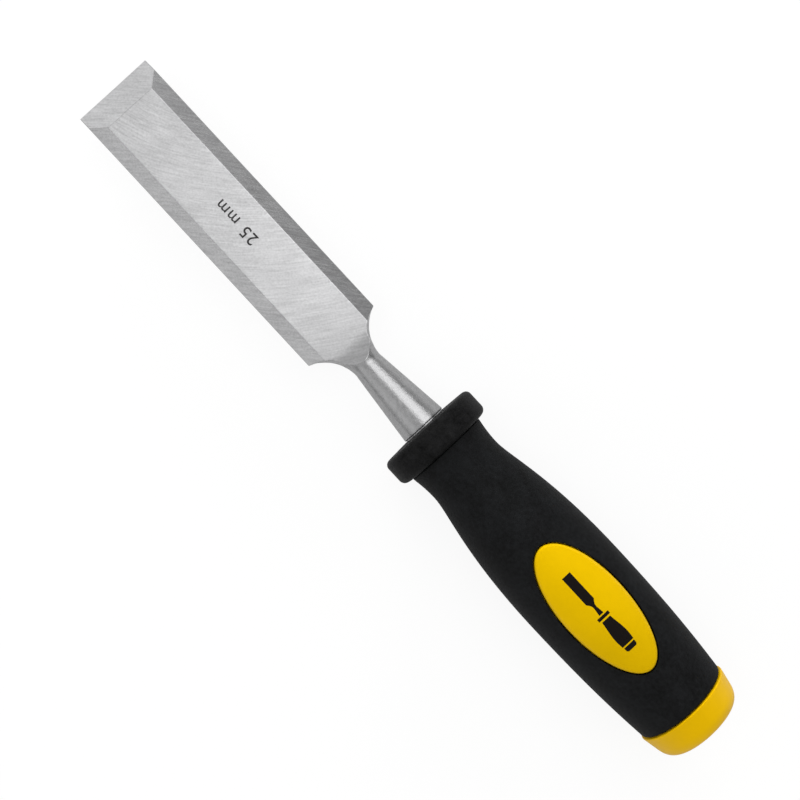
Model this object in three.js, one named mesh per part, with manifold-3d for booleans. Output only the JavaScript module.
// A 1 inch bench chisel: a bevel-edged steel blade in a moulded handle of two materials.
//
// Millimetres, +Z up. The tool's axis is X, with the cutting edge at -X and the striking cap at +X.
// The bevelled side of the blade faces +Z and its flat back faces -Z. The origin is the centre of the
// striking face. Stations along the axis, named *_AT, are measured from the cutting edge.

import * as THREE from "three";
import { mergeVertices } from "three/addons/utils/BufferGeometryUtils.js";
import Module from "manifold-3d";

// Whole tool
const LENGTH = 250;
const GAP = 0.3; // clearance left between two pieces that touch or nest

// Blade
const BLADE_WIDTH = 25.4;
const BLADE_THICKNESS = 4.8;
const LAND_WIDTH = 16.7; // the flat top between the two side bevels
const SIDE_WALL = 2.4; // height of the square edge below each side bevel
const CUTTING_BEVEL = 8.8; // length of the ground bevel along the blade
const SHOULDER_AT = 97.2;
const GRIND_END_AT = 100.8; // where the flat grinding starts to curve up onto the neck
const GRIND_RADIUS = 9.8;
const SHOULDER_PULL = 1.85; // the shoulder curve's first handle, along X
const SHOULDER_DROP = 4.13; // and across the blade
const SHOULDER_NECK_PULL = 6; // its last handle, along the neck

// Neck, bolster and tang
const NECK_AT = 109;
const NECK_RADIUS = 4.6;
const NECK_BASE_RADIUS = 7.15;
const NECK_EDGE = 0.3; // small bevel where the neck meets the collar
const BLANK_SPARE = 1.3; // radius the round blank has beyond the blade's half width
const FLARE_AFTER = 0.5; // distance past NECK_AT where the blank's flare ends
const FLARE_PULL = 3.3; // the flare's first handle, along X
const FLARE_DROP = 5; // and towards the axis
const FLARE_NECK_PULL = 5.3;
const BOLSTER_RADIUS = 6.85;
const TANG_ROOT = 7.2; // side of the square tang at the bolster
const TANG_END = 4.6;
const TANG_LENGTH = 70;

// Collar
const COLLAR_AT = 132.5;
const COLLAR_LENGTH = 8.7;
const COLLAR_RADIUS = 16;
const COLLAR_LIP = 3; // thickness of the front wall that the bolster passes through
const COLLAR_FRONT_ROUND = 1.6;
const COLLAR_BACK_ROUND = 2;

// Grip sleeve
const GRIP_FRONT_RADIUS = 12.85;
const WAIST_AT = 149.6;
const WAIST_RADIUS = 12;
const BARREL_AT = 195.3;
const BARREL_RADIUS = 16.65;
const GRIP_BACK_RADIUS = 14.6;
const SLEEVE_WALL = 2.8;
const FRONT_PULL = 3; // handles of the grip's curves, along X: the flared front, the waist, the
const FRONT_DROP = 0.65; // swell up to the barrel and the taper down to the cap
const WAIST_FRONT_PULL = 2;
const WAIST_BACK_PULL = 5.9;
const BARREL_FRONT_PULL = 28.3;
const BARREL_BACK_PULL = 22.7;
const BACK_PULL = 10;
const BACK_DROP = 1;

// Oval windows in the sleeve, and the core's pads that fill them
const PAD_AT = 201;
const PAD_LENGTH = 45.8;
const PAD_WIDTH = 19.7;
const PAD_PROUD = 0.35;
const PAD_ROOT_Z = 8; // the pads start inside the core at this height

// Handle core
const SPIGOT_RADIUS = 9;
const SOCKET_SPARE = 2; // free depth beyond the tang's end

// Striking cap
const CAP_LENGTH = 9.6;
const CAP_RADIUS = 15.05;
const CAP_DRAFT_LENGTH = 5.5; // conical stretch before the rounded rim
const CAP_DRAFT_RADIUS = 14;
const RIM_INNER_RADIUS = 10.3;
const RIM_PULL = 2.1; // the rim curve's first handle, along X
const RIM_DROP = 0.45; // and towards the axis
const RIM_INNER_PULL = 2; // its last handle, away from the axis
const CROWN_RISE = 0.38; // height of the crowned end above the rim's inner edge
const CROWN_PULL = 2.1; // distance from the striking face's edge to the crown curve's handle
const STRIKE_FACE_RADIUS = 6;
const PLUG_RADIUS = 7.7;
const PLUG_LENGTH = 14;

// Smoothness
const SEGMENTS = 48; // around the axis
const CURVE_STEPS = 5; // along each curve of an outline, doubled on an arc
const WELD = 1e-4;
const OVERSHOOT = 1; // how far a cutting or joining shape runs past the surface it works on

// Stations that follow from the dimensions above
const HALF_WIDTH = BLADE_WIDTH / 2;
const HALF_THICKNESS = BLADE_THICKNESS / 2;
const BOLSTER_END_AT = COLLAR_AT + COLLAR_LIP;
const CORE_AT = BOLSTER_END_AT + GAP;
const COLLAR_END_AT = COLLAR_AT + COLLAR_LENGTH;
const GRIP_AT = COLLAR_END_AT + GAP;
const CAP_AT = LENGTH - CAP_LENGTH;
const GRIP_END_AT = CAP_AT - GAP;
const PLUG_AT = CAP_AT - PLUG_LENGTH;
const COLUMN_REACH = BARREL_RADIUS + PAD_PROUD + OVERSHOOT; // height of the ovals' columns

const wasm = await Module();
wasm.setup();

// A closed geometry as a solid that can be joined and cut.
function solid(geometry) {
  const bare = new THREE.BufferGeometry();
  bare.setAttribute("position", geometry.getAttribute("position"));
  bare.setIndex(geometry.getIndex());
  const welded = mergeVertices(bare, WELD);
  const mesh = new wasm.Mesh({
    numProp: 3,
    vertProperties: welded.getAttribute("position").array,
    triVerts: new Uint32Array(welded.getIndex().array),
  });
  return new wasm.Manifold(mesh);
}

function geometryOf(shape) {
  const { vertProperties, triVerts } = shape.getMesh();
  const geometry = new THREE.BufferGeometry();
  geometry.setAttribute("position", new THREE.BufferAttribute(vertProperties, 3));
  geometry.setIndex(new THREE.BufferAttribute(triVerts, 1));
  geometry.computeVertexNormals();
  return geometry;
}

// Turns an outline of (station, radius) points about the tool's axis.
function turned(outline) {
  const points = outline.map((point) => new THREE.Vector2(point.y, point.x));
  return new THREE.LatheGeometry(points, SEGMENTS).rotateZ(-Math.PI / 2);
}

// Extrudes a plan outline, drawn in X and Y, from one height to another.
function extrudedUp(outline, low, high) {
  const options = { depth: high - low, bevelEnabled: false, curveSegments: 2 * CURVE_STEPS };
  return new THREE.ExtrudeGeometry(outline, options).translate(0, 0, low);
}

// Extrudes a side outline, drawn in X and Z, across the tool.
function extrudedAcross(outline, width) {
  const options = { depth: width, bevelEnabled: false, curveSegments: CURVE_STEPS };
  return new THREE.ExtrudeGeometry(outline, options).rotateX(Math.PI / 2).translate(0, width / 2, 0);
}

// Extrudes an end outline, drawn in Y and Z, along the tool.
function extrudedAlong(outline, from, to) {
  const options = { depth: to - from, bevelEnabled: false };
  const yzx = new THREE.Matrix4().makeBasis(
    new THREE.Vector3(0, 1, 0),
    new THREE.Vector3(0, 0, 1),
    new THREE.Vector3(1, 0, 0),
  );
  return new THREE.ExtrudeGeometry(outline, options).applyMatrix4(yzx).translate(from, 0, 0);
}

// A square bar that tapers from one side length to another, with its flats facing Y and Z.
function squareTaper(from, to, sideFrom, sideTo) {
  const bar = new THREE.CylinderGeometry(sideFrom / Math.SQRT2, sideTo / Math.SQRT2, to - from, 4);
  return bar
    .rotateY(Math.PI / 4)
    .rotateZ(Math.PI / 2)
    .translate((from + to) / 2, 0, 0);
}

// Blade: the round forging before grinding, wide enough at the blade to be cut to shape.
function forgedBlank() {
  const blankRadius = HALF_WIDTH + BLANK_SPARE;
  const flareEnd = NECK_AT + FLARE_AFTER;
  const outline = new THREE.Path();
  outline.moveTo(-OVERSHOOT, 0);
  outline.lineTo(-OVERSHOOT, blankRadius);
  outline.lineTo(SHOULDER_AT, blankRadius);
  outline.bezierCurveTo(
    SHOULDER_AT + FLARE_PULL, blankRadius - FLARE_DROP,
    flareEnd - FLARE_NECK_PULL, NECK_RADIUS,
    flareEnd, NECK_RADIUS,
  );
  outline.lineTo(COLLAR_AT - GAP - NECK_EDGE, NECK_BASE_RADIUS);
  outline.lineTo(COLLAR_AT - GAP, BOLSTER_RADIUS);
  outline.lineTo(BOLSTER_END_AT, BOLSTER_RADIUS);
  outline.lineTo(BOLSTER_END_AT, 0);
  return solid(turned(outline.getPoints(CURVE_STEPS)));
}

// Blade: the plan outline with its square shoulders, open around the neck.
function bladePlan() {
  const clear = NECK_BASE_RADIUS + OVERSHOOT;
  const shoulderHandle = SHOULDER_AT + SHOULDER_PULL;
  const shoulderHandleY = HALF_WIDTH - SHOULDER_DROP;
  const neckHandle = NECK_AT - SHOULDER_NECK_PULL;
  const outline = new THREE.Shape();
  outline.moveTo(0, -HALF_WIDTH);
  outline.lineTo(SHOULDER_AT, -HALF_WIDTH);
  outline.bezierCurveTo(
    shoulderHandle, -shoulderHandleY,
    neckHandle, -NECK_RADIUS,
    NECK_AT, -NECK_RADIUS,
  );
  outline.lineTo(NECK_AT, -clear);
  outline.lineTo(CORE_AT, -clear);
  outline.lineTo(CORE_AT, clear);
  outline.lineTo(NECK_AT, clear);
  outline.lineTo(NECK_AT, NECK_RADIUS);
  outline.bezierCurveTo(
    neckHandle, NECK_RADIUS,
    shoulderHandle, shoulderHandleY,
    SHOULDER_AT, HALF_WIDTH,
  );
  outline.lineTo(0, HALF_WIDTH);
  outline.closePath();
  return solid(extrudedUp(outline, -BLADE_WIDTH, BLADE_WIDTH));
}

// Blade: the side outline, with the cutting bevel and the grinding that curves off the neck.
function bladeSide() {
  const sweep = Math.PI / 3; // the grinding arcs turn this far, which takes them clear of the neck
  const outside = HALF_WIDTH;
  const topCentre = HALF_THICKNESS + GRIND_RADIUS;
  const outline = new THREE.Shape();
  outline.moveTo(0, -HALF_THICKNESS);
  outline.lineTo(GRIND_END_AT, -HALF_THICKNESS);
  outline.absarc(GRIND_END_AT, -topCentre, GRIND_RADIUS, Math.PI / 2, Math.PI / 2 - sweep, true);
  outline.lineTo(CORE_AT, -outside);
  outline.lineTo(CORE_AT, outside);
  outline.absarc(GRIND_END_AT, topCentre, GRIND_RADIUS, sweep - Math.PI / 2, -Math.PI / 2, true);
  outline.lineTo(CUTTING_BEVEL, HALF_THICKNESS);
  outline.closePath();
  return solid(extrudedAcross(outline, 2 * BLADE_WIDTH));
}

// Blade: the wedge that grinding a side bevel takes off, on the side given by its sign.
function sideBevelWedge(side) {
  const landEdge = LAND_WIDTH / 2;
  const slope = (BLADE_THICKNESS - SIDE_WALL) / (HALF_WIDTH - landEdge);
  const inner = landEdge - OVERSHOOT;
  const outer = HALF_WIDTH + OVERSHOOT;
  const top = HALF_THICKNESS + slope * OVERSHOOT;
  const outline = new THREE.Shape();
  outline.moveTo(side * inner, top);
  outline.lineTo(side * outer, HALF_THICKNESS - slope * (outer - landEdge));
  outline.lineTo(side * outer, top);
  outline.closePath();
  return solid(extrudedAlong(outline, -OVERSHOOT, GRIND_END_AT + OVERSHOOT));
}

function blade() {
  const tang = solid(
    squareTaper(BOLSTER_END_AT - OVERSHOOT, BOLSTER_END_AT + TANG_LENGTH, TANG_ROOT, TANG_END),
  );
  const ground = forgedBlank().intersect(bladePlan()).intersect(bladeSide());
  const bevelled = ground.subtract(sideBevelWedge(1)).subtract(sideBevelWedge(-1));
  return geometryOf(bevelled.add(tang));
}

// Collar: a ring with a small bore for the bolster and a wider one behind it for the core's spigot.
function collar() {
  const bolsterBore = BOLSTER_RADIUS + GAP;
  const spigotBore = SPIGOT_RADIUS + GAP;
  const outline = new THREE.Path();
  outline.moveTo(COLLAR_AT, bolsterBore);
  outline.lineTo(COLLAR_AT, COLLAR_RADIUS - COLLAR_FRONT_ROUND);
  outline.absarc(
    COLLAR_AT + COLLAR_FRONT_ROUND, COLLAR_RADIUS - COLLAR_FRONT_ROUND, COLLAR_FRONT_ROUND,
    Math.PI, Math.PI / 2, true,
  );
  outline.absarc(
    COLLAR_END_AT - COLLAR_BACK_ROUND, COLLAR_RADIUS - COLLAR_BACK_ROUND, COLLAR_BACK_ROUND,
    Math.PI / 2, 0, true,
  );
  outline.lineTo(COLLAR_END_AT, spigotBore);
  outline.lineTo(BOLSTER_END_AT, spigotBore);
  outline.lineTo(BOLSTER_END_AT, bolsterBore);
  outline.closePath();
  return turned(outline.getPoints(CURVE_STEPS));
}

// The grip's outline from the collar to the cap: a waist, a swell to the barrel and a taper.
function gripOutline(offset) {
  const outline = new THREE.Path();
  outline.moveTo(GRIP_AT, GRIP_FRONT_RADIUS);
  outline.bezierCurveTo(
    GRIP_AT + FRONT_PULL, GRIP_FRONT_RADIUS - FRONT_DROP,
    WAIST_AT - WAIST_FRONT_PULL, WAIST_RADIUS,
    WAIST_AT, WAIST_RADIUS,
  );
  outline.bezierCurveTo(
    WAIST_AT + WAIST_BACK_PULL, WAIST_RADIUS,
    BARREL_AT - BARREL_FRONT_PULL, BARREL_RADIUS,
    BARREL_AT, BARREL_RADIUS,
  );
  outline.bezierCurveTo(
    BARREL_AT + BARREL_BACK_PULL, BARREL_RADIUS,
    GRIP_END_AT - BACK_PULL, GRIP_BACK_RADIUS + BACK_DROP,
    GRIP_END_AT, GRIP_BACK_RADIUS,
  );
  return outline.getPoints(CURVE_STEPS).map((point) => point.setY(point.y + offset));
}

// An upright column on the pads' oval, grown by a margin all round.
function ovalColumn(margin, low, high) {
  const outline = new THREE.Shape();
  const alongRadius = PAD_LENGTH / 2 + margin;
  const acrossRadius = PAD_WIDTH / 2 + margin;
  outline.absellipse(PAD_AT, 0, alongRadius, acrossRadius, 0, 2 * Math.PI);
  return solid(extrudedUp(outline, low, high));
}

function gripSleeve() {
  const outside = gripOutline(0);
  const inside = gripOutline(-SLEEVE_WALL).reverse();
  const sleeve = solid(turned([...outside, ...inside, outside[0]]));
  const topWindow = ovalColumn(GAP, OVERSHOOT, COLUMN_REACH);
  const bottomWindow = ovalColumn(GAP, -COLUMN_REACH, -OVERSHOOT);
  return geometryOf(sleeve.subtract(topWindow).subtract(bottomWindow));
}

// Core: the round body under the sleeve, its spigot in front and its open bore for the cap behind.
function coreBody() {
  const under = gripOutline(-SLEEVE_WALL - GAP);
  const plugBore = PLUG_RADIUS + GAP;
  const boreEnd = PLUG_AT - 2 * GAP;
  const outline = [
    new THREE.Vector2(CORE_AT, 0),
    new THREE.Vector2(CORE_AT, SPIGOT_RADIUS),
    new THREE.Vector2(GRIP_AT, SPIGOT_RADIUS),
    ...under,
    new THREE.Vector2(GRIP_END_AT, plugBore),
    new THREE.Vector2(boreEnd, plugBore),
    new THREE.Vector2(boreEnd, 0),
  ];
  return solid(turned(outline));
}

// Core: the stretch of grip surface that the pads share, raised and filled to the axis.
function padBlank() {
  const raised = gripOutline(PAD_PROUD);
  const outline = [
    new THREE.Vector2(GRIP_AT, 0),
    ...raised,
    new THREE.Vector2(GRIP_END_AT, 0),
  ];
  return solid(turned(outline));
}

function handleCore() {
  const topPad = padBlank().intersect(ovalColumn(0, PAD_ROOT_Z, COLUMN_REACH));
  const bottomPad = padBlank().intersect(ovalColumn(0, -COLUMN_REACH, -PAD_ROOT_Z));
  const socketEnd = BOLSTER_END_AT + TANG_LENGTH + SOCKET_SPARE;
  const socket = solid(
    squareTaper(BOLSTER_END_AT - OVERSHOOT, socketEnd, TANG_ROOT + 2 * GAP, TANG_END + 2 * GAP),
  );
  return geometryOf(coreBody().add(topPad).add(bottomPad).subtract(socket));
}

// Cap: a plug that closes the core, and a crowned head with a rounded rim and a flat centre.
function strikingCap() {
  const rimEnd = LENGTH - CROWN_RISE;
  const draftEnd = CAP_AT + CAP_DRAFT_LENGTH;
  const outline = new THREE.Path();
  outline.moveTo(PLUG_AT, 0);
  outline.lineTo(PLUG_AT, PLUG_RADIUS - GAP);
  outline.lineTo(PLUG_AT + GAP, PLUG_RADIUS);
  outline.lineTo(CAP_AT, PLUG_RADIUS);
  outline.lineTo(CAP_AT, CAP_RADIUS - GAP);
  outline.lineTo(CAP_AT + GAP, CAP_RADIUS);
  outline.lineTo(draftEnd, CAP_DRAFT_RADIUS);
  outline.bezierCurveTo(
    draftEnd + RIM_PULL, CAP_DRAFT_RADIUS - RIM_DROP,
    rimEnd, RIM_INNER_RADIUS + RIM_INNER_PULL,
    rimEnd, RIM_INNER_RADIUS,
  );
  outline.quadraticCurveTo(LENGTH, STRIKE_FACE_RADIUS + CROWN_PULL, LENGTH, STRIKE_FACE_RADIUS);
  outline.lineTo(LENGTH, 0);
  return turned(outline.getPoints(CURVE_STEPS));
}

const steel = new THREE.MeshStandardMaterial({ color: 0xc6c6c8, roughness: 0.38, metalness: 1 });
const collarBlack = new THREE.MeshStandardMaterial({ color: 0x232426, roughness: 0.55, metalness: 0 });
const gripBlack = new THREE.MeshStandardMaterial({ color: 0x222428, roughness: 0.8, metalness: 0 });
const coreYellow = new THREE.MeshStandardMaterial({ color: 0xecc105, roughness: 0.4, metalness: 0 });
const capYellow = new THREE.MeshStandardMaterial({ color: 0xe2b40c, roughness: 0.42, metalness: 0 });

function piece(name, geometry, material) {
  const mesh = new THREE.Mesh(geometry, material);
  mesh.name = name;
  return mesh;
}

const tool = new THREE.Group();
tool.position.x = -LENGTH;
tool.add(
  piece("blade", blade(), steel),
  piece("collar", collar(), collarBlack),
  piece("grip_sleeve", gripSleeve(), gripBlack),
  piece("handle_core", handleCore(), coreYellow),
  piece("striking_cap", strikingCap(), capYellow),
);

const chisel = new THREE.Group();
chisel.add(tool);

export default chisel;
